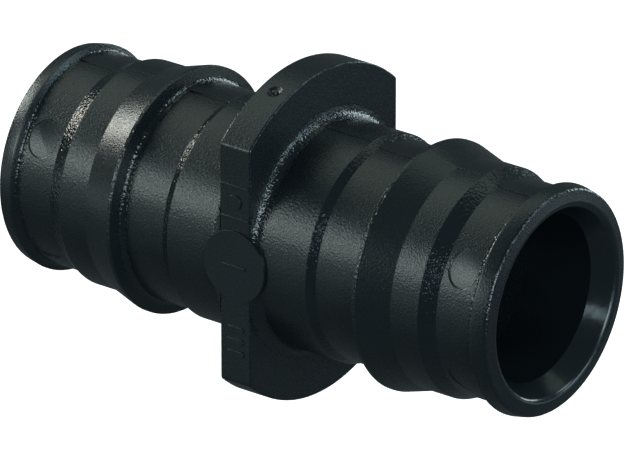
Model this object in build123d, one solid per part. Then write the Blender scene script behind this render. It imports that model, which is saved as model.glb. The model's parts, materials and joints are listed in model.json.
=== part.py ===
"""Straight pipe coupling, one black plastic moulding for 20 mm plastic pipe.

Two mirrored barbed spigots meet at a stop flange with two flats. Everything is
one moulding, so the nodes are its zones: they meet face to face and never move.
Millimetres. X runs along the bore, Z is up, and the flats face -Y and +Y.
The origin is the centre of the bore in the middle of the flange.
"""
from build123d import *
import math
import os

# Bore and mouth
BORE_R = 6.5
MOUTH_R = 7.5
MOUTH_CONE_END_X = 21.5
MOUTH_EDGE_ROUND = 0.5

# Flange in the middle
FLANGE_HALF = 1.43
FLANGE_R = 13.17
FLAT_Y = 9.02
FLANGE_CORNER_ROUND = 0.4
FLANGE_EDGE_ROUND = 0.12

# Spigot, from the flange outwards: land radii and the places where they change
ROOT_R = 8.95
ROOT_FILLET = 0.9
ROOT_END_X = 6.55
NECK_R = 8.6
NECK_START_X = 7.25
NECK_END_X = 11.15
NECK_FILLET = 0.5
CREST_R = 9.75
CREST_START_X = 11.45
CREST_END_X = 11.75
CREST_ROUND = 0.05
MIDDLE_R = 8.95
MIDDLE_START_X = 14.45
MIDDLE_END_X = 16.95
OUTER_R = 8.4
OUTER_START_X = 18.25
OUTER_END_X = 21.5
OUTER_FILLET = 0.3
LIP_START_X = 21.75
LIP_TOP_X = 21.9
LIP_R = 8.95
LIP_CORNER_X = 23.02
LIP_CORNER_R = 8.74
LIP_CORNER_ROUND = 0.3
SPIGOT_END_X = 23.25

# Where one zone of the spigot ends and the next begins
ROOT_BARB_SEAM_X = 9.2
BARB_TIP_SEAM_X = 15.7

# Parting web: low level bars along the top and bottom of each land, highest on the narrow lands
WEB_HALF_WIDTH = 0.72
WEB_HEIGHT = 0.12
WEB_LOW_HEIGHT = 0.05

# Ejector pin marks, four on the -Y side, slightly sunk
EJECTOR_X = 19.9
EJECTOR_Z = 4.4
EJECTOR_R = 1.3
EJECTOR_DEPTH = 0.07

# Round pad on the -Y flat
PAD_R = 2.85
PAD_FACE_Y = 9.2
PAD_INNER_Y = 7.8
PAD_EDGE_ROUND = 0.03

# Gate mark on the rim: a shallow dimple with the broken stub of the gate in it
GATE_ANGLE = 108.5
GATE_PIT_R = 0.8
GATE_PIT_DEPTH = 0.2
GATE_STUB_R = 0.24
GATE_STUB_TOP = 0.08
GATE_STUB_ROOT = 0.4

# Plain raised marks on the -Y flat and the pad
MARK_HEIGHT = 0.12
MARK_ROOT = 0.1
BAR_WIDTH = 0.22
UPPER_BAR_Z = 6.45
LOWER_BAR_Z = 3.84
DOT_R = 0.6
PILL_LENGTH = 1.6
PILL_WIDTH = 0.5
PILL_PLACES_Z = (-5.2, -6.2, -7.2)
TICK_LENGTH = 2.2

# How far bars start outside the bore and cuts reach past a face, and a size larger than the part
OVERLAP = 1.0
PLENTY = 60.0

# How closely an edge must lie to the place where it is looked for
SLACK = 0.001


def turned(*edges):
    """The solid of revolution about X whose half section the edges enclose."""
    return revolve(Plane.XZ * make_face(Curve() + list(edges)), Axis.X, 360)


def section(*points):
    """Turn a closed polygon of (x, radius) points about X."""
    return turned(Polyline(*points, close=True))


def slab(half_width):
    """Everything closer to the XZ plane than half_width."""
    return Box(PLENTY, 2 * half_width, PLENTY)


def web_bar(start_x, end_x, radius):
    """A level bar of the parting web over one land, above and below the axis."""
    inner_r = BORE_R + OVERLAP
    ring = section((start_x, inner_r), (start_x, radius), (end_x, radius), (end_x, inner_r))
    return ring & slab(WEB_HALF_WIDTH)


def cylinder_along_y(centre_x, centre_z, radius, near_y, far_y):
    """A cylinder along Y on the -Y side, between two distances from the axis."""
    length = far_y - near_y
    place = Location((centre_x, -(near_y + far_y) / 2, centre_z), (90, 0, 0))
    return place * Cylinder(radius, length)


def cavity_pad():
    """The round pad, set into the flange and the roots on the -Y side."""
    pad = cylinder_along_y(0, 0, PAD_R, PAD_INNER_Y, PAD_FACE_Y)
    face = pad.faces().sort_by(Axis.Y)[0]
    return fillet(face.edges(), PAD_EDGE_ROUND)


def pad_pocket():
    """The room that the pad takes up in its neighbours."""
    return cylinder_along_y(0, 0, PAD_R, PAD_INNER_Y, PLENTY / 2)


def gate_place(radius):
    """A place on the flange rim at the gate, with local Z pointing outwards."""
    angle = math.radians(GATE_ANGLE)
    position = (0, radius * math.cos(angle), radius * math.sin(angle))
    return Plane(origin=position, x_dir=(1, 0, 0), z_dir=(0, math.cos(angle), math.sin(angle)))


def stop_flange():
    """The flange: a disc with two flats, rounded corners and the gate mark."""
    disc = Location((0, 0, 0), (0, 90, 0)) * Cylinder(FLANGE_R, 2 * FLANGE_HALF)
    flange = disc & slab(FLAT_Y)
    corners = [edge for edge in flange.edges() if is_flat_corner(edge)]
    flange = fillet(corners, FLANGE_CORNER_ROUND)
    rims = [edge for edge in flange.edges() if abs(abs(edge.center().X) - FLANGE_HALF) < SLACK]
    flange = fillet(rims, FLANGE_EDGE_ROUND)
    pit = gate_place(FLANGE_R + GATE_PIT_R - GATE_PIT_DEPTH) * Sphere(GATE_PIT_R)
    stub_length = GATE_STUB_ROOT + GATE_STUB_TOP
    stub = gate_place(FLANGE_R + GATE_STUB_TOP - stub_length / 2) * Cylinder(GATE_STUB_R, stub_length)
    bore = Location((0, 0, 0), (0, 90, 0)) * Cylinder(BORE_R, PLENTY)
    return flange - pit + stub - bore - pad_pocket()


def is_flat_corner(edge):
    """Whether an edge is one of the four where a flat meets the round rim."""
    middle = edge.center()
    runs_along_x = abs(middle.X) < SLACK and edge.length > 2 * FLANGE_HALF - SLACK
    return runs_along_x and abs(abs(middle.Y) - FLAT_Y) < SLACK


def spigot_root():
    """The land next to the flange, its fillet, and the first half of the neck."""
    fillet_end_x = FLANGE_HALF + ROOT_FILLET
    fillet_top_r = ROOT_R + ROOT_FILLET
    body = turned(
        Polyline(
            (fillet_end_x, ROOT_R),
            (ROOT_END_X, ROOT_R),
            (NECK_START_X, NECK_R),
            (ROOT_BARB_SEAM_X, NECK_R),
            (ROOT_BARB_SEAM_X, BORE_R),
            (FLANGE_HALF, BORE_R),
        ),
        Line((FLANGE_HALF, BORE_R), (FLANGE_HALF, fillet_top_r)),
        RadiusArc((FLANGE_HALF, fillet_top_r), (fillet_end_x, ROOT_R), -ROOT_FILLET),
    )
    root_bar = web_bar(FLANGE_HALF, ROOT_END_X, ROOT_R + WEB_LOW_HEIGHT)
    neck_bar = web_bar(ROOT_END_X, ROOT_BARB_SEAM_X, NECK_R + WEB_HEIGHT)
    return (body & slab(FLAT_Y)) + root_bar + neck_bar - pad_pocket()


def spigot_barb():
    """The second half of the neck, the sharp barb, and the middle land."""
    body = section(
        (ROOT_BARB_SEAM_X, BORE_R),
        (ROOT_BARB_SEAM_X, NECK_R),
        (NECK_END_X, NECK_R),
        (CREST_START_X, CREST_R),
        (CREST_END_X, CREST_R),
        (MIDDLE_START_X, MIDDLE_R),
        (BARB_TIP_SEAM_X, MIDDLE_R),
        (BARB_TIP_SEAM_X, BORE_R),
    )
    body = fillet(ring_at(body, NECK_END_X, NECK_R), NECK_FILLET)
    body = fillet(ring_at(body, CREST_START_X, CREST_R), CREST_ROUND)
    neck_bar = web_bar(ROOT_BARB_SEAM_X, CREST_END_X, NECK_R + WEB_HEIGHT)
    middle_bar = web_bar(CREST_END_X, BARB_TIP_SEAM_X, MIDDLE_R + WEB_LOW_HEIGHT)
    return body + neck_bar + middle_bar


def spigot_tip():
    """The rest of the middle land, the outer land, the lip, and the coned mouth."""
    body = section(
        (BARB_TIP_SEAM_X, BORE_R),
        (BARB_TIP_SEAM_X, MIDDLE_R),
        (MIDDLE_END_X, MIDDLE_R),
        (OUTER_START_X, OUTER_R),
        (OUTER_END_X, OUTER_R),
        (LIP_START_X, LIP_R),
        (LIP_TOP_X, LIP_R),
        (LIP_CORNER_X, LIP_CORNER_R),
        (SPIGOT_END_X, MOUTH_R),
        (MOUTH_CONE_END_X, BORE_R),
    )
    body = fillet(ring_at(body, OUTER_END_X, OUTER_R), OUTER_FILLET)
    body = fillet(ring_at(body, LIP_CORNER_X, LIP_CORNER_R), LIP_CORNER_ROUND)
    body = fillet(ring_at(body, SPIGOT_END_X, MOUTH_R), MOUTH_EDGE_ROUND)
    middle_bar = web_bar(BARB_TIP_SEAM_X, MIDDLE_END_X, MIDDLE_R + WEB_LOW_HEIGHT)
    outer_bar = web_bar(MIDDLE_END_X, LIP_START_X, OUTER_R + WEB_HEIGHT)
    return body + middle_bar + outer_bar - ejector_mark(1) - ejector_mark(-1)


def ejector_mark(side):
    """What one ejector pin takes off the outer land, above (1) or below (-1) the axis."""
    pin = cylinder_along_y(EJECTOR_X, side * EJECTOR_Z, EJECTOR_R, 0, PLENTY / 2)
    layer = section(
        (OUTER_START_X, OUTER_R - EJECTOR_DEPTH),
        (OUTER_START_X, OUTER_R + OVERLAP),
        (OUTER_END_X, OUTER_R + OVERLAP),
        (OUTER_END_X, OUTER_R - EJECTOR_DEPTH),
    )
    return pin & layer


def ring_at(solid, x, radius):
    """The circular edge of a turned solid at one place along X."""
    return [
        edge
        for edge in solid.edges()
        if edge.geom_type == GeomType.CIRCLE
        and abs(edge.arc_center.X - x) < SLACK
        and abs(edge.radius - radius) < SLACK
    ]


def mark(outline, face_y):
    """Raise a flat outline, drawn in X and Z, from a face on the -Y side."""
    base = Plane(origin=(0, -(face_y - MARK_ROOT), 0), x_dir=(1, 0, 0), z_dir=(0, -1, 0))
    return extrude(base * outline, MARK_ROOT + MARK_HEIGHT)


def raised_marks():
    """Plain bars, pills and dots, one solid each, let a little into the faces."""
    bar_length = 2 * (FLANGE_HALF - FLANGE_EDGE_ROUND)
    outlines = [Pos(0, z) * Rectangle(bar_length, BAR_WIDTH) for z in (UPPER_BAR_Z, LOWER_BAR_Z)]
    outlines.append(Pos(0, (UPPER_BAR_Z + LOWER_BAR_Z) / 2) * Circle(DOT_R))
    outlines += [Pos(0, z) * SlotOverall(PILL_LENGTH, PILL_WIDTH) for z in PILL_PLACES_Z]
    marks = [mark(outline, FLAT_Y) for outline in outlines]
    marks.append(mark(Rectangle(TICK_LENGTH, BAR_WIDTH), PAD_FACE_Y))
    return marks


def main():
    """Build every zone and write one STEP file for each."""
    marks = raised_marks()
    nodes = {"stop_flange": stop_flange(), "cavity_pad": cavity_pad()}
    for name in nodes:
        for solid in marks:
            nodes[name] -= solid
    nodes["raised_marks"] = Compound(children=[solid.solid() for solid in marks])
    for zone, shape in (("root", spigot_root()), ("barb", spigot_barb()), ("tip", spigot_tip())):
        nodes["right_spigot_" + zone] = shape
        nodes["left_spigot_" + zone] = mirror(shape, Plane.YZ)
    os.makedirs("parts", exist_ok=True)
    for name, shape in nodes.items():
        export_step(shape, "parts/" + name + ".step")


main()
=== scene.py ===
"""Barbed pipe coupling: the black plastic moulding, zone by zone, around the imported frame.

Shapes are worked out in millimetres in the frame of the CAD model: X along the bore,
Z up, the flats facing -Y and +Y. Meshes are written in metres.
"""
import json
import math

import bpy
from mathutils import Matrix, Vector


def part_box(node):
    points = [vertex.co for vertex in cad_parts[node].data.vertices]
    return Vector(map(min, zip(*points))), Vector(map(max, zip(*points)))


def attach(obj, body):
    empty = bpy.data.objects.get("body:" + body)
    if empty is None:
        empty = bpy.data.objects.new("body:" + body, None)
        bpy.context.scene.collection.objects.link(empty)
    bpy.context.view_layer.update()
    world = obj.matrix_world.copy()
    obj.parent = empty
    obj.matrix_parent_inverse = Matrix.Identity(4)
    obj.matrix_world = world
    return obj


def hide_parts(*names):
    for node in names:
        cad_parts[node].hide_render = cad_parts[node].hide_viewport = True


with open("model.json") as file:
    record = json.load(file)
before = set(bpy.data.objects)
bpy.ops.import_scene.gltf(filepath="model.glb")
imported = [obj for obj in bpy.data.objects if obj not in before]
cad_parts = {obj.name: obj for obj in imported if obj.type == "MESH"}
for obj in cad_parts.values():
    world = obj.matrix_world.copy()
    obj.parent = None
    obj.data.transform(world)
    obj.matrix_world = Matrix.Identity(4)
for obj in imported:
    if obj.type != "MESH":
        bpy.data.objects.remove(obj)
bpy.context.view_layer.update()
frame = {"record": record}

MM = 0.001


def box_mm(node):
    """The lowest and highest corner of a CAD node, in millimetres."""
    return [Vector(corner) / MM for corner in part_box(node)]


def mount(name):
    """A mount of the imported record."""
    return next(m for m in frame["record"]["mounts"] if m["name"] == name)


# Sizes that the frame gives, in millimetres
FLANGE_LOW, FLANGE_HIGH = box_mm("stop_flange")
PAD_LOW, PAD_HIGH = box_mm("cavity_pad")
ROOT_HIGH = box_mm("right_spigot_root")[1]
TIP_LOW = box_mm("right_spigot_tip")[0]
BORE_R = mount("bore")["dims"]["r_mm"]
CREST_R = mount("right_barb")["dims"]["r_mm"]
FLANGE_HALF = FLANGE_HIGH.x
FLANGE_R = FLANGE_HIGH.z
FLAT_Y = FLANGE_HIGH.y
PAD_R = PAD_HIGH.z
PAD_FACE_Y = -PAD_LOW.y
PAD_INNER_Y = -PAD_HIGH.y
ROOT_BARB_SEAM_X = ROOT_HIGH.x
BARB_TIP_SEAM_X = TIP_LOW.x

# The spigot's outline: land radii and the places where they change
ROOT_R = 8.95
ROOT_FILLET = 0.9
ROOT_END_X = 6.55
NECK_R = 8.6
NECK_START_X = 7.25
NECK_END_X = 11.15
NECK_FILLET = 0.5
CREST_START_X = 11.45
CREST_END_X = 11.75
CREST_ROUND = 0.05
MIDDLE_R = 8.95
MIDDLE_START_X = 14.45
MIDDLE_END_X = 16.95
OUTER_R = 8.4
OUTER_START_X = 18.25
OUTER_END_X = 21.5
OUTER_FILLET = 0.3
LIP_START_X = 21.75
LIP_TOP_X = 21.9
LIP_R = 8.95
LIP_TOP_ROUND = 0.06
LIP_CORNER_X = 23.02
LIP_CORNER_R = 8.74
LIP_CORNER_ROUND = 0.3
SPIGOT_END_X = 23.25
MOUTH_R = 7.5
MOUTH_CONE_END_X = 21.5
MOUTH_EDGE_ROUND = 0.5
CONE_FOOT_ROUND = 0.1
LAND_EDGE_ROUND = 0.12

# Parting web: bars along the top and bottom of each land, highest on the narrow lands
WEB_HALF_WIDTH = 0.72
WEB_HEIGHT = 0.12
WEB_LOW_HEIGHT = 0.05
WEB_EDGE = 0.005

# Ejector marks on the -Y side. They lean: their depth changes by the lean's share over one radius,
# and the left spigot's marks keep at least the least share of it
EJECTOR_X = 19.9
EJECTOR_Z = 4.4
EJECTOR_R = 1.3
EJECTOR_DEPTH = 0.12
EJECTOR_EDGE = 0.06
EJECTOR_LEAN = 0.35
EJECTOR_LEFT_LEAST = 0.45

# Flange and pad edges, and the gate mark on the rim
FLANGE_CORNER_ROUND = 0.4
FLANGE_EDGE_ROUND = 0.12
PAD_EDGE_ROUND = 0.01
GATE_ANGLE = 108.5
GATE_PIT_R = 0.75
GATE_PIT_DEPTH = 0.28
GATE_STUB_R = 0.22
GATE_STUB_TOP = 0.05
GATE_STUB_EDGE = 0.08

# Plain raised marks on the -Y flat and the pad
MARK_HEIGHT = 0.12
MARK_ROOT = 0.1
MARK_EDGE = 0.03
BAR_WIDTH = 0.22
UPPER_BAR_Z = 6.45
LOWER_BAR_Z = 3.84
DOT_R = 0.6
PILL_LENGTH = 1.6
PILL_WIDTH = 0.5
PILL_PLACES_Z = (-5.2, -6.2, -7.2)
TICK_LENGTH = 2.2

# How far a finish reaches along a rounding, in radii of the rounding
COARSE_REACH = 1.3
POLISH_REACH = 0.75

# Where the root's fillet runs out into the -Y flat, in degrees from the flat's middle
CUT_NEAR = 12
CUT_FAR = 27

# How finely outlines are divided: degrees along an arc, millimetres from an arc's end to the next
# point, millimetres across the marks, and steps round the edges of the flange and of a boss
ARC_STEP = 9.0
SUPPORT = 0.04
FINE_STEP = 0.04
FLANGE_EDGE_STEPS = 4
BOSS_EDGE_STEPS = 3

# How finely rings are divided, in degrees: everywhere, where the fillet meets the flat, at the
# flange's corners, and at the gate, as far as its reach to either side
COLUMN_STEP = 1.5
CUT_STEP = 0.3
CORNER_STEP = 0.16
GATE_STEP = 0.25
GATE_REACH = 3

# Steps in each quarter of a round outline
PAD_STEPS = 24
DOT_STEPS = 8
BAR_STEPS = 3

# Degrees kept free of plain columns beside a finer range and beside the web, and millimetres
# from the web's edge to the columns that support it
RANGE_GAP = 0.3
WEB_GAP = 8.0
WEB_SUPPORT = 0.06

# Points further from the axis than this are on the outside of the moulding
OUTSIDE_R = BORE_R + 1

# How far the fillet's end keeps off the flange's face, what counts as level, how clearly an outline
# must cross the web's top, a size too small to see, and a distance larger than the part
CLEARANCE = 0.004
LEVEL = 0.001
CROSSING = 0.0001
HARDLY = 1e-6
PLENTY = 100.0

# Faces that meet at more degrees than this keep a sharp edge between them
SHARP_ANGLE = 50


# ---------------------------------------------------------------- outlines

def rounded(corners):
    """Points along a chain of (x, radius, rounding) corners, with an arc at each rounded one."""
    spots = [Vector(corner[:2]) for corner in corners]
    points = [spots[0]]
    for index in range(1, len(corners) - 1):
        spot, rounding = spots[index], corners[index][2]
        if not rounding:
            points.append(spot)
            continue
        before = (spots[index - 1] - spot).normalized()
        after = (spots[index + 1] - spot).normalized()
        half_inner = before.angle(after) / 2
        reach = rounding / math.tan(half_inner)
        centre = spot + (before + after).normalized() * rounding / math.sin(half_inner)
        start = spot + before * reach - centre
        turn = start.angle_signed(spot + after * reach - centre)
        count = max(2, math.ceil(abs(math.degrees(turn)) / ARC_STEP))
        points.append(spot + before * (reach + SUPPORT))
        for step in range(count + 1):
            spoke = start.copy()
            spoke.rotate(Matrix.Rotation(-turn * step / count, 2))
            points.append(centre + spoke)
        points.append(spot + after * (reach + SUPPORT))
    points.append(spots[-1])
    return points


def divided(points, low_x, high_x, step):
    """The same points with more between them where the outline runs level from low_x to high_x."""
    result = []
    for here, there in zip(points, points[1:]):
        result.append(here)
        if abs(here.y - there.y) > LEVEL or here.y < OUTSIDE_R:
            continue
        low, high = max(low_x, here.x), min(high_x, there.x)
        count = math.ceil((high - low) / step)
        result += [Vector((low + (high - low) * i / count, here.y)) for i in range(1, count)]
    return result + [points[-1]]


def root_outline():
    """From the bore up the flange's face, round the fillet, and along the land to half of the neck."""
    return rounded([
        (FLANGE_HALF, BORE_R, 0),
        (FLANGE_HALF, ROOT_R + ROOT_FILLET + 2 * SUPPORT, 0),
        (FLANGE_HALF + CLEARANCE, ROOT_R, ROOT_FILLET),
        (ROOT_END_X, ROOT_R, LAND_EDGE_ROUND),
        (NECK_START_X, NECK_R, LAND_EDGE_ROUND),
        (ROOT_BARB_SEAM_X, NECK_R, 0),
        (ROOT_BARB_SEAM_X, BORE_R, 0),
    ])


def barb_outline():
    """The rest of the neck, the sharp rib, and half of the middle land."""
    return rounded([
        (ROOT_BARB_SEAM_X, BORE_R, 0),
        (ROOT_BARB_SEAM_X, NECK_R, 0),
        (NECK_END_X, NECK_R, NECK_FILLET),
        (CREST_START_X, CREST_R, CREST_ROUND),
        (CREST_END_X, CREST_R, CREST_ROUND),
        (MIDDLE_START_X, MIDDLE_R, LAND_EDGE_ROUND),
        (BARB_TIP_SEAM_X, MIDDLE_R, 0),
        (BARB_TIP_SEAM_X, BORE_R, 0),
    ])


def tip_outline():
    """The rest of the middle land, the outer land, the lip, the front, and the mouth's cone."""
    outline = rounded([
        (BARB_TIP_SEAM_X, BORE_R, 0),
        (BARB_TIP_SEAM_X, MIDDLE_R, 0),
        (MIDDLE_END_X, MIDDLE_R, LAND_EDGE_ROUND),
        (OUTER_START_X, OUTER_R, LAND_EDGE_ROUND),
        (OUTER_END_X, OUTER_R, OUTER_FILLET),
        (LIP_START_X, LIP_R, LIP_TOP_ROUND),
        (LIP_TOP_X + LIP_TOP_ROUND, LIP_R, 0),
        (LIP_CORNER_X, LIP_CORNER_R, LIP_CORNER_ROUND),
        (SPIGOT_END_X, MOUTH_R, MOUTH_EDGE_ROUND),
        (MOUTH_CONE_END_X, BORE_R, CONE_FOOT_ROUND),
        (BARB_TIP_SEAM_X, BORE_R, 0),
    ])
    reach = EJECTOR_R + EJECTOR_EDGE
    return divided(outline, EJECTOR_X - reach, EJECTOR_X + reach, FINE_STEP)


# ---------------------------------------------------------------- turned meshes

# The web's level bars: where each ends, how far out its top lies, and the next one starts there
WEB_BARS = (
    (ROOT_END_X, ROOT_R + WEB_LOW_HEIGHT),
    (CREST_END_X, NECK_R + WEB_HEIGHT),
    (MIDDLE_END_X, MIDDLE_R + WEB_LOW_HEIGHT),
    (LIP_START_X, OUTER_R + WEB_HEIGHT),
)

# Columns across the web: how far from the middle, and whether they lie on its top
WEB_COLUMNS = (
    (WEB_HALF_WIDTH + WEB_SUPPORT, False),
    (WEB_HALF_WIDTH + WEB_EDGE, False),
    (WEB_HALF_WIDTH - WEB_EDGE, True),
    (WEB_HALF_WIDTH - WEB_SUPPORT, True),
    (WEB_HALF_WIDTH / 2, True),
)


def web_radius(x):
    """How far out the parting web's top lies at one place along the spigot."""
    for end_x, radius in WEB_BARS:
        if x < end_x:
            return radius
    return 0


def with_web_ends(points):
    """The same points with one more wherever the outline crosses the top of a web bar."""
    result = []
    for here, there in zip(points, points[1:]):
        result.append(here)
        top = web_radius((here.x + there.x) / 2)
        if top and (here.y - top) * (there.y - top) < -CROSSING:
            result.append(here.lerp(there, (top - here.y) / (there.y - here.y)))
    return result + [points[-1]]


def smooth_step(value):
    """Nought below 0, one above 1, and a smooth change between them."""
    value = min(max(value, 0.0), 1.0)
    return value * value * (3 - 2 * value)


def disc(distance, radius, edge):
    """One within the radius and nought outside it, with a smooth change as wide as the edge."""
    return smooth_step((radius - distance) / edge + 0.5)


def plain_columns(fine_ranges):
    """The angles of the columns round the axis, with a finer step in each (low, high, step) range."""
    angles = [i * COLUMN_STEP for i in range(round(360 / COLUMN_STEP))]
    for low, high, step in fine_ranges:
        count = math.ceil((high - low) / step)
        angles = [a for a in angles if not low - RANGE_GAP <= a <= high + RANGE_GAP]
        angles += [low + (high - low) * i / count for i in range(count + 1)]
    return sorted(angles)


def columns(fine_ranges):
    """The columns of a spigot, as (angle, None) or as (the web's angle, (offset, on its top))."""
    other_half = [(-offset, on_top) for offset, on_top in reversed(WEB_COLUMNS)]
    across = [*WEB_COLUMNS, (0.0, True), *other_half]
    plain = [(a, None) for a in plain_columns(fine_ranges) if min(abs(a - 90), abs(a - 270)) > WEB_GAP]
    top = [(90.0, spot) for spot in across]
    bottom = [(270.0, (-offset, on_top)) for offset, on_top in across]
    return sorted(plain + top + bottom, key=lambda column: column[0])


def mirrored_ranges(low, high, step):
    """Two fine ranges of columns, low to high degrees above and below the -Y direction."""
    return [(180 - high, 180 - low, step), (180 + low, 180 + high, step)]


def ring_faces(rings, size, closed):
    """Faces between rings of vertices; a closed shape joins its last ring to the first."""
    faces = []
    for ring in range(rings if closed else rings - 1):
        here, there = ring * size, (ring + 1) % rings * size
        for spot in range(size):
            after = (spot + 1) % size
            faces.append([here + spot, here + after, there + after, there + spot])
    return faces


def turned(name, outline, around, shape, finish, side):
    """A closed mesh turned about X, with the outline's points as rings.

    shape(x, radius, turn) gives the radius of a place after its details, and finish(x, radius, turn)
    the finish of a face.
    """
    vertices = []
    for point in outline:
        for angle, spot in around:
            radius = point.y
            turn = math.radians(angle)
            if spot is not None:
                offset, on_top = spot
                if on_top and radius > OUTSIDE_R:
                    radius = max(radius, web_radius(point.x))
                lean = math.acos(offset / radius)
                turn = lean if angle < 180 else 2 * math.pi - lean
            elif radius > OUTSIDE_R:
                radius = shape(point.x, radius, turn)
            vertices.append((side * point.x, radius * math.cos(turn), radius * math.sin(turn)))
    faces = ring_faces(len(outline), len(around), True)
    if side < 0:
        faces = [face[::-1] for face in faces]
    finishes = []
    for here, there in zip(outline, outline[1:] + outline[:1]):
        middle = (here + there) / 2
        finishes += [finish(middle.x, middle.y, math.radians(angle)) for angle, _ in around]
    return mesh_piece(name, vertices, faces, finishes)


def placed(name, data):
    """A new object in the scene."""
    thing = bpy.data.objects.new(name, data)
    bpy.context.scene.collection.objects.link(thing)
    return thing


def mesh_piece(name, vertices, faces, finishes):
    """A piece from millimetre vertices and a finish for each face, smooth between its sharp edges."""
    mesh = bpy.data.meshes.new(name)
    mesh.from_pydata([Vector(v) * MM for v in vertices], [], faces)
    used = sorted(set(finishes))
    for finish in used:
        mesh.materials.append(bpy.data.materials[finish])
    mesh.polygons.foreach_set("material_index", [used.index(finish) for finish in finishes])
    mesh.shade_smooth()
    mesh.set_sharp_from_angle(angle=math.radians(SHARP_ANGLE))
    mesh.validate()
    return placed(name, mesh)


# ---------------------------------------------------------------- spigots

def within_flats(x, radius, turn):
    """The root's fillet is cut off level with the flats."""
    across = abs(math.cos(turn))
    return FLAT_Y / across if radius * across > FLAT_Y else radius


def ejector_distance(x, radius, turn):
    """How far a place on the outer land is from the middle of an ejector mark, seen along Y."""
    if math.cos(turn) > 0 or not OUTER_START_X < x < OUTER_END_X:
        return PLENTY
    return math.hypot(x - EJECTOR_X, abs(radius * math.sin(turn)) - EJECTOR_Z)


def ejector_depth(x, radius, turn, deep_side, least):
    """How deep the ejector marks are: deepest towards the flange and towards one side of them."""
    distance = ejector_distance(x, radius, turn)
    if distance > EJECTOR_R + EJECTOR_EDGE:
        return 0
    along = (EJECTOR_X - x) / EJECTOR_R
    up = (abs(radius * math.sin(turn)) - EJECTOR_Z) / EJECTOR_R
    share = max(least, smooth_step(0.5 + EJECTOR_LEAN * (along + deep_side * up)))
    return EJECTOR_DEPTH * share * disc(distance, EJECTOR_R, EJECTOR_EDGE)


def with_left_marks(x, radius, turn):
    """The left spigot's marks are deeper on the side away from the level of the axis."""
    return radius - ejector_depth(x, radius, turn, 1, EJECTOR_LEFT_LEAST)


def with_right_marks(x, radius, turn):
    """The right spigot's marks are deeper on the side towards the level of the axis."""
    return radius - ejector_depth(x, radius, turn, -1, 0)


def as_it_is(x, radius, turn):
    """The barb zone has no details besides the web."""
    return radius


def root_finish(x, radius, turn):
    """Coarse in the fillet and on the ramp, grained on the lands."""
    in_fillet = x < FLANGE_HALF + COARSE_REACH * ROOT_FILLET
    return "coarse" if in_fillet or ROOT_END_X < x < NECK_START_X else "grained"


def barb_finish(x, radius, turn):
    """Coarse in the fillet at the barb's foot and on its crest, grained elsewhere."""
    in_fillet = abs(x - NECK_END_X) < NECK_FILLET and radius < NECK_R + NECK_FILLET
    return "coarse" if in_fillet or CREST_START_X < x < CREST_END_X else "grained"


def tip_finish(x, radius, turn):
    """Polished inside, coarse on the ramp, in the fillet and round the lip's corner, smooth on the lip's
    foot and the ejector marks, grained elsewhere."""
    if radius < MOUTH_R + POLISH_REACH * MOUTH_EDGE_ROUND:
        return "polished"
    if x > LIP_CORNER_X and radius < LIP_CORNER_R - COARSE_REACH * LIP_CORNER_ROUND:
        return "grained"
    on_ramp = MIDDLE_END_X < x < OUTER_START_X
    in_fillet = abs(x - OUTER_END_X) < OUTER_FILLET and radius < OUTER_R + OUTER_FILLET
    if on_ramp or in_fillet or x > LIP_CORNER_X - LIP_CORNER_ROUND:
        return "coarse"
    on_lip_foot = LIP_START_X < x < LIP_TOP_X
    on_mark = ejector_distance(x, radius, turn) < EJECTOR_R
    return "smooth" if on_lip_foot or on_mark else "grained"


def spigot(side):
    """The three zones of one spigot."""
    name = "right" if side > 0 else "left"
    tip_marks = with_right_marks if side > 0 else with_left_marks
    low = math.degrees(math.asin((EJECTOR_Z - EJECTOR_R - EJECTOR_EDGE) / OUTER_R))
    high = math.degrees(math.asin((EJECTOR_Z + EJECTOR_R + EJECTOR_EDGE) / OUTER_R))
    cut_ranges = mirrored_ranges(CUT_NEAR, CUT_FAR, CUT_STEP)
    mark_ranges = mirrored_ranges(low, high, math.degrees(FINE_STEP / OUTER_R))
    zones = (
        ("root", root_outline(), cut_ranges, within_flats, root_finish),
        ("barb", barb_outline(), [], as_it_is, barb_finish),
        ("tip", tip_outline(), mark_ranges, tip_marks, tip_finish),
    )
    pieces = []
    for zone, outline, fine_ranges, shape, finish in zones:
        around = columns(fine_ranges)
        piece = turned(f"{name}_{zone}_zone", with_web_ends(outline), around, shape, finish, side)
        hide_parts(f"{name}_spigot_{zone}")
        pieces.append(piece)
    return pieces


# ---------------------------------------------------------------- flange

def corner_centre():
    """The centre of the rounding where a flat meets the rim, as distances along Y and Z."""
    centre_y = FLAT_Y - FLANGE_CORNER_ROUND
    return centre_y, math.sqrt((FLANGE_R - FLANGE_CORNER_ROUND) ** 2 - centre_y ** 2)


def rim_point(turn):
    """A point of the flange's outer edge and the direction outwards, both in the YZ plane."""
    across, up = abs(math.cos(turn)), abs(math.sin(turn))
    centre_y, centre_z = corner_centre()
    if up * FLAT_Y < across * centre_z:
        reach = FLAT_Y / across
        normal = Vector((1, 0))
    elif up * centre_y > across * centre_z:
        reach = FLANGE_R
        normal = Vector((across, up))
    else:
        along = across * centre_y + up * centre_z
        reach = along + math.sqrt(along ** 2 - centre_y ** 2 - centre_z ** 2 + FLANGE_CORNER_ROUND ** 2)
        normal = Vector((across * reach - centre_y, up * reach - centre_z)).normalized()
    signs = Vector((math.copysign(1, math.cos(turn)), math.copysign(1, math.sin(turn))))
    point = Vector((math.cos(turn), math.sin(turn))) * reach
    return point, normal * signs


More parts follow.
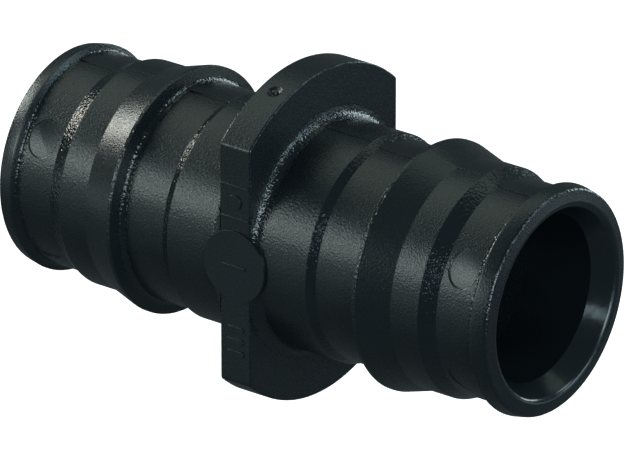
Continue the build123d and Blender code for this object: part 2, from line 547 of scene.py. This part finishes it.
def gate_sink(x, turn):
    """How deep the gate mark lies under the rim: a shallow dimple with the gate's proud stub in it."""
    distance = math.hypot(x, FLANGE_R * (turn - math.radians(GATE_ANGLE)))
    if distance > GATE_PIT_R:
        return 0
    pit = max(0, GATE_PIT_DEPTH - GATE_PIT_R + math.sqrt(GATE_PIT_R ** 2 - distance ** 2))
    return pit - (GATE_STUB_TOP + pit) * disc(distance, GATE_STUB_R, GATE_STUB_EDGE)


def flange_rows():
    """The flange's rings as (x, inset from the rim); those in the bore have no inset."""
    rim_half = FLANGE_HALF - FLANGE_EDGE_ROUND
    rows = [(-FLANGE_HALF, None), (-FLANGE_HALF, FLANGE_EDGE_ROUND + SUPPORT)]
    for i in range(FLANGE_EDGE_STEPS + 1):
        angle = math.radians(90 * i / FLANGE_EDGE_STEPS)
        along = FLANGE_EDGE_ROUND * math.cos(angle)
        inset = FLANGE_EDGE_ROUND * (1 - math.sin(angle))
        rows.append((-rim_half - along, inset))
    rows.append((-rim_half + SUPPORT, 0))
    reach = GATE_PIT_R + FINE_STEP
    count = round(reach / FINE_STEP)
    rows += [(reach * i / count, 0) for i in range(-count, 0)]
    return rows + [(0, 0)] + [(-x, inset) for x, inset in reversed(rows)]


def flange():
    """The stop flange: two flats, rounded corners, softened edges and the gate mark."""
    corner_y, corner_z = corner_centre()
    low = math.degrees(math.atan2(corner_z, FLAT_Y))
    high = math.degrees(math.atan2(corner_z, corner_y))
    fine = []
    for turn in (0, 180):
        fine.append((turn + low - CORNER_STEP, turn + high + CORNER_STEP, CORNER_STEP))
        fine.append((turn + 180 - high - CORNER_STEP, turn + 180 - low + CORNER_STEP, CORNER_STEP))
    fine.append((GATE_ANGLE - GATE_REACH, GATE_ANGLE + GATE_REACH, GATE_STEP))
    around = [math.radians(angle) for angle in plain_columns(fine)]
    rows = flange_rows()
    vertices = []
    for x, inset in rows:
        for turn in around:
            point, normal = rim_point(turn)
            if inset is None:
                point = Vector((math.cos(turn), math.sin(turn))) * BORE_R
            else:
                point = point - normal * (inset + gate_sink(x, turn))
            vertices.append((x, point.x, point.y))
    faces = ring_faces(len(rows), len(around), True)
    finishes = []
    for (_, here), (_, there) in zip(rows, rows[1:] + rows[:1]):
        on_edge = None not in (here, there) and max(here, there) > 0
        finishes += ["coarse" if on_edge else "grained"] * len(around)
    piece = mesh_piece("flange_zone", vertices, faces, finishes)
    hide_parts("stop_flange")
    return piece


# ---------------------------------------------------------------- pad and marks

def stadium(length, width, rounding, steps):
    """Points round a bar in X and Z, with rounded corners."""
    points = []
    half_x, half_z = length / 2 - rounding, width / 2 - rounding
    for quarter, (side_x, side_z) in enumerate(((1, 1), (-1, 1), (-1, -1), (1, -1))):
        for i in range(steps + 1):
            angle = math.radians(90 * (quarter + i / steps))
            x = side_x * half_x + rounding * math.cos(angle)
            z = side_z * half_z + rounding * math.sin(angle)
            points.append((x, z))
    return points


def bar(length):
    """The outline of a square-ended bar."""
    return stadium(length, BAR_WIDTH, MARK_EDGE, BAR_STEPS)


def pill(length, width, steps):
    """The outline of a bar with round ends, or of a disc when it is as long as it is wide."""
    return stadium(length, width, width / 2 - HARDLY, steps)


def boss(outline, centre_z, near_y, far_y, edge):
    """Vertices and faces of a low boss on the -Y side with a softened front edge."""
    size = len(outline)
    width = max(abs(x) for x, _ in outline)
    height = max(abs(z) for _, z in outline)
    loops = [(near_y, 0.0)]
    for i in range(BOSS_EDGE_STEPS + 1):
        angle = math.radians(90 * i / BOSS_EDGE_STEPS)
        loops.append((far_y - edge + edge * math.sin(angle), edge * (1 - math.cos(angle))))
    loops.append((far_y, edge + SUPPORT / 2))
    vertices = []
    for y, inset in loops:
        for x, z in outline:
            vertices.append((x * (1 - inset / width), -y, centre_z + z * (1 - inset / height)))
    faces = ring_faces(len(loops), size, False)
    faces.append(list(range(size))[::-1])
    faces.append([(len(loops) - 1) * size + i for i in range(size)])
    return vertices, faces


def pad():
    """The round pad on the -Y flat."""
    outline = pill(2 * PAD_R, 2 * PAD_R, PAD_STEPS)
    vertices, faces = boss(outline, 0, PAD_INNER_Y, PAD_FACE_Y, PAD_EDGE_ROUND)
    piece = mesh_piece("pad_zone", vertices, faces, ["smooth"] * len(faces))
    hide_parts("cavity_pad")
    return piece


def marks():
    """Plain bars, pills, a dot and a tick, closed and apart from each other."""
    long_bar = bar(2 * (FLANGE_HALF - FLANGE_EDGE_ROUND))
    dot_z = (UPPER_BAR_Z + LOWER_BAR_Z) / 2
    bosses = [(long_bar, z, FLAT_Y) for z in (UPPER_BAR_Z, LOWER_BAR_Z)]
    bosses.append((pill(2 * DOT_R, 2 * DOT_R, DOT_STEPS), dot_z, FLAT_Y))
    bosses += [(pill(PILL_LENGTH, PILL_WIDTH, DOT_STEPS), z, FLAT_Y) for z in PILL_PLACES_Z]
    bosses.append((bar(TICK_LENGTH), 0, PAD_FACE_Y))
    vertices, faces = [], []
    for outline, centre_z, face_y in bosses:
        more, more_faces = boss(outline, centre_z, face_y - MARK_ROOT, face_y + MARK_HEIGHT, MARK_EDGE)
        faces += [[len(vertices) + i for i in face] for face in more_faces]
        vertices += more
    piece = mesh_piece("raised_marks_zone", vertices, faces, ["smooth"] * len(faces))
    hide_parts("raised_marks")
    return piece


# ---------------------------------------------------------------- material

# Two tints of the plastic, clouds of them to a metre, and the clouds' share in the mix with the specks
DARK_TINT = (0.006, 0.0095, 0.0115, 1)
LIGHT_TINT = (0.010, 0.0140, 0.0160, 1)
CLOUD_SCALE = 260
CLOUD_SHARE = 0.6

# The values that a noise stays between nearly everywhere
NOISE_LOW = 0.3
NOISE_HIGH = 0.7


def noise(tree, scale, **inputs):
    """A noise in the object's own coordinates, which are the frame's metres."""
    place = tree.nodes.get("Place") or tree.nodes.new("ShaderNodeTexCoord")
    place.name = "Place"
    node = tree.nodes.new("ShaderNodeTexNoise")
    node.inputs["Scale"].default_value = scale
    for name, value in inputs.items():
        node.inputs[name].default_value = value
    tree.links.new(place.outputs["Object"], node.inputs["Vector"])
    return node


def ranged(tree, source, low, high):
    """A noise stretched to run from low to high."""
    node = tree.nodes.new("ShaderNodeMapRange")
    node.inputs["From Min"].default_value = NOISE_LOW
    node.inputs["From Max"].default_value = NOISE_HIGH
    node.inputs["To Min"].default_value = low
    node.inputs["To Max"].default_value = high
    tree.links.new(source, node.inputs["Value"])
    return node.outputs["Result"]


def maths(tree, operation, first, second):
    """One calculation with two sources or numbers."""
    node = tree.nodes.new("ShaderNodeMath")
    node.operation = operation
    for index, value in enumerate((first, second)):
        if isinstance(value, (int, float)):
            node.inputs[index].default_value = value
        else:
            tree.links.new(value, node.inputs[index])
    return node.outputs["Value"]


def plastic(name, grain_size, grain_depth, rough_low, rough_high):
    """Black moulded plastic: cool dark grey, cloudy in colour, with a spark-eroded grain.

    grain_size and grain_depth are in millimetres; the roughness runs between two values.
    """
    material = bpy.data.materials.new(name)
    material.use_nodes = True
    tree = material.node_tree
    shader = tree.nodes["Principled BSDF"]
    scale = 1 / (grain_size * MM)
    clouds = noise(tree, CLOUD_SCALE, Detail=3.0)
    specks = noise(tree, scale, Detail=1.0)
    grain = noise(tree, scale, Detail=1.0, Roughness=0.45)
    tint = tree.nodes.new("ShaderNodeMix")
    tint.data_type = "RGBA"
    tint.inputs["A"].default_value = DARK_TINT
    tint.inputs["B"].default_value = LIGHT_TINT
    cloud_part = maths(tree, "MULTIPLY", clouds.outputs["Fac"], CLOUD_SHARE)
    speck_part = maths(tree, "MULTIPLY", specks.outputs["Fac"], 1 - CLOUD_SHARE)
    blend = maths(tree, "ADD", cloud_part, speck_part)
    tree.links.new(ranged(tree, blend, 0.0, 1.0), tint.inputs["Factor"])
    tree.links.new(tint.outputs["Result"], shader.inputs["Base Color"])
    tree.links.new(ranged(tree, specks.outputs["Fac"], rough_high, rough_low), shader.inputs["Roughness"])
    bump = tree.nodes.new("ShaderNodeBump")
    bump.inputs["Strength"].default_value = 1.0
    bump.inputs["Distance"].default_value = grain_depth * MM
    tree.links.new(grain.outputs["Fac"], bump.inputs["Height"])
    tree.links.new(bump.outputs["Normal"], shader.inputs["Normal"])


def add_finishes():
    """The finishes that the tool leaves on the moulding: grain size and depth, low and high roughness."""
    plastic("grained", 0.15, 0.024, 0.24, 0.34)
    plastic("coarse", 0.22, 0.070, 0.08, 0.14)
    plastic("smooth", 0.14, 0.008, 0.24, 0.34)
    plastic("polished", 0.50, 0.010, 0.16, 0.24)


# ---------------------------------------------------------------- view and light

# Camera: direction in degrees, distance and aim beside the origin in metres, lens and sensor in millimetres
VIEW_AZIMUTH = 37.6
VIEW_ELEVATION = 23.74
VIEW_DISTANCE = 0.6967
AIM_RIGHT = 0.00023
AIM_UP = -0.000224
LENS = 533.6
SENSOR_WIDTH = 36

# Floor, in metres: a level disc that bends up into a dome, given as (radius, height)
FLOOR_Z = -0.25
FLOOR_R = 2.0
FLOOR_BEND = 1.0
FLOOR_BEND_STEP = 10
DOME = ((3.0, 2.0), (2.0, 3.5))
DOME_TOP = 4.0
POLE_R = 0.001
FLOOR_COLUMNS = 48

# How far the lamps stand from the part, in metres
LAMP_DISTANCE = 0.6

# Softboxes: azimuth, elevation, width and height in degrees as the part sees them, brightness, colour
WARM = (1.0, 0.94, 0.84)
NEUTRAL = (0.86, 1.0, 0.95)
GREENISH = (0.82, 1.0, 0.84)
COOL = (0.78, 0.96, 1.0)
COLD = (0.66, 0.92, 1.0)
SOFTBOXES = (
    ("left", -90, 22, 13, 11, 12.6, WARM),
    ("left_high", -82, 32, 26, 9, 10.6, NEUTRAL),
    ("left_top", -98, 48, 50, 20, 0.32, NEUTRAL),
    ("front_left", -42, 17, 14, 20, 5.3, NEUTRAL),
    ("front_left_high", -42, 30, 14, 10, 1.2, COLD),
    ("front", -22, 17, 26, 20, 2.0, COOL),
    ("front_narrow", 30, 22, 12, 10, 3.7, COLD),
    ("front_right", 60, 14, 24, 22, 6.8, COOL),
    ("right", 76, 7, 24, 34, 1.7, COLD),
    ("right_back", 117, 16, 28, 18, 3.7, COLD),
    ("high_right", 136, 42, 18, 12, 6.2, COLD),
    ("back", 176, 7, 22, 20, 5.1, COOL),
    ("back_low", 140, -8, 34, 10, 0.8, COOL),
    ("overhead", -140, 62, 70, 30, 0.6, GREENISH),
    ("low_left", -60, -8, 90, 10, 0.75, COOL),
    ("front_below", -38, -24, 24, 16, 0.17, COLD),
)

# The light that comes from everywhere
AMBIENT = (0.74, 0.94, 1.0, 1)
AMBIENT_STRENGTH = 0.106


def direction(azimuth, elevation):
    """A unit vector; azimuth 0 is the -Y side, and it grows towards +X."""
    turn, lift = math.radians(azimuth), math.radians(elevation)
    return Vector((math.sin(turn) * math.cos(lift), -math.cos(turn) * math.cos(lift), math.sin(lift)))


def add_camera():
    """A long lens that looks at the part from the front, the right and above."""
    data = bpy.data.cameras.new("camera")
    data.lens = LENS
    data.sensor_width = SENSOR_WIDTH
    camera = placed("camera", data)
    back = direction(VIEW_AZIMUTH, VIEW_ELEVATION)
    rotation = back.to_track_quat("Z", "Y")
    aim = rotation @ Vector((AIM_RIGHT, AIM_UP, 0))
    camera.rotation_mode = "QUATERNION"
    camera.rotation_quaternion = rotation
    camera.location = aim + back * VIEW_DISTANCE
    bpy.context.scene.camera = camera


def add_softbox(name, azimuth, elevation, width, height, brightness, colour):
    """A rectangular lamp that faces the part; width and height are the angles it fills."""
    light = bpy.data.lights.new(name, "AREA")
    light.shape = "RECTANGLE"
    light.size = 2 * LAMP_DISTANCE * math.tan(math.radians(width / 2))
    light.size_y = 2 * LAMP_DISTANCE * math.tan(math.radians(height / 2))
    light.energy = brightness * math.pi * light.size * light.size_y
    light.color = colour
    lamp = placed(name, light)
    towards = direction(azimuth, elevation)
    lamp.location = towards * LAMP_DISTANCE
    lamp.rotation_mode = "QUATERNION"
    lamp.rotation_quaternion = towards.to_track_quat("Z", "Y")
    lamp.visible_camera = False


def add_floor():
    """A plain white floor that curves up into a dome. It is seen, but lights nothing."""
    profile = [(POLE_R, FLOOR_Z)]
    for degrees in range(0, 91, FLOOR_BEND_STEP):
        bend = math.radians(degrees)
        profile.append((FLOOR_R + FLOOR_BEND * math.sin(bend), FLOOR_Z + FLOOR_BEND * (1 - math.cos(bend))))
    profile += [*DOME, (POLE_R, DOME_TOP)]
    vertices = []
    for radius, height in profile:
        for i in range(FLOOR_COLUMNS):
            turn = 2 * math.pi * i / FLOOR_COLUMNS
            vertices.append((radius * math.cos(turn), radius * math.sin(turn), height))
    mesh = bpy.data.meshes.new("floor")
    mesh.from_pydata(vertices, [], ring_faces(len(profile), FLOOR_COLUMNS, False))
    mesh.shade_smooth()
    floor = placed("floor", mesh)
    white = bpy.data.materials.new("white_floor")
    white.use_nodes = True
    shader = white.node_tree.nodes["Principled BSDF"]
    shader.inputs["Base Color"].default_value = (0.9, 0.9, 0.9, 1)
    shader.inputs["Emission Color"].default_value = (1, 1, 1, 1)
    shader.inputs["Emission Strength"].default_value = 1.0
    mesh.materials.append(white)
    floor.visible_diffuse = False
    floor.visible_glossy = False
    floor.visible_shadow = False


def add_world():
    """A dim even light, and colours shown as they are."""
    world = bpy.data.worlds.new("world")
    world.use_nodes = True
    background = world.node_tree.nodes["Background"]
    background.inputs["Color"].default_value = AMBIENT
    background.inputs["Strength"].default_value = AMBIENT_STRENGTH
    bpy.context.scene.world = world
    bpy.context.scene.view_settings.view_transform = "Standard"


def main():
    add_finishes()
    for piece in [flange(), pad(), marks(), *spigot(-1), *spigot(1)]:
        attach(piece, "root")
    add_camera()
    add_floor()
    add_world()
    for softbox in SOFTBOXES:
        add_softbox(*softbox)


main()
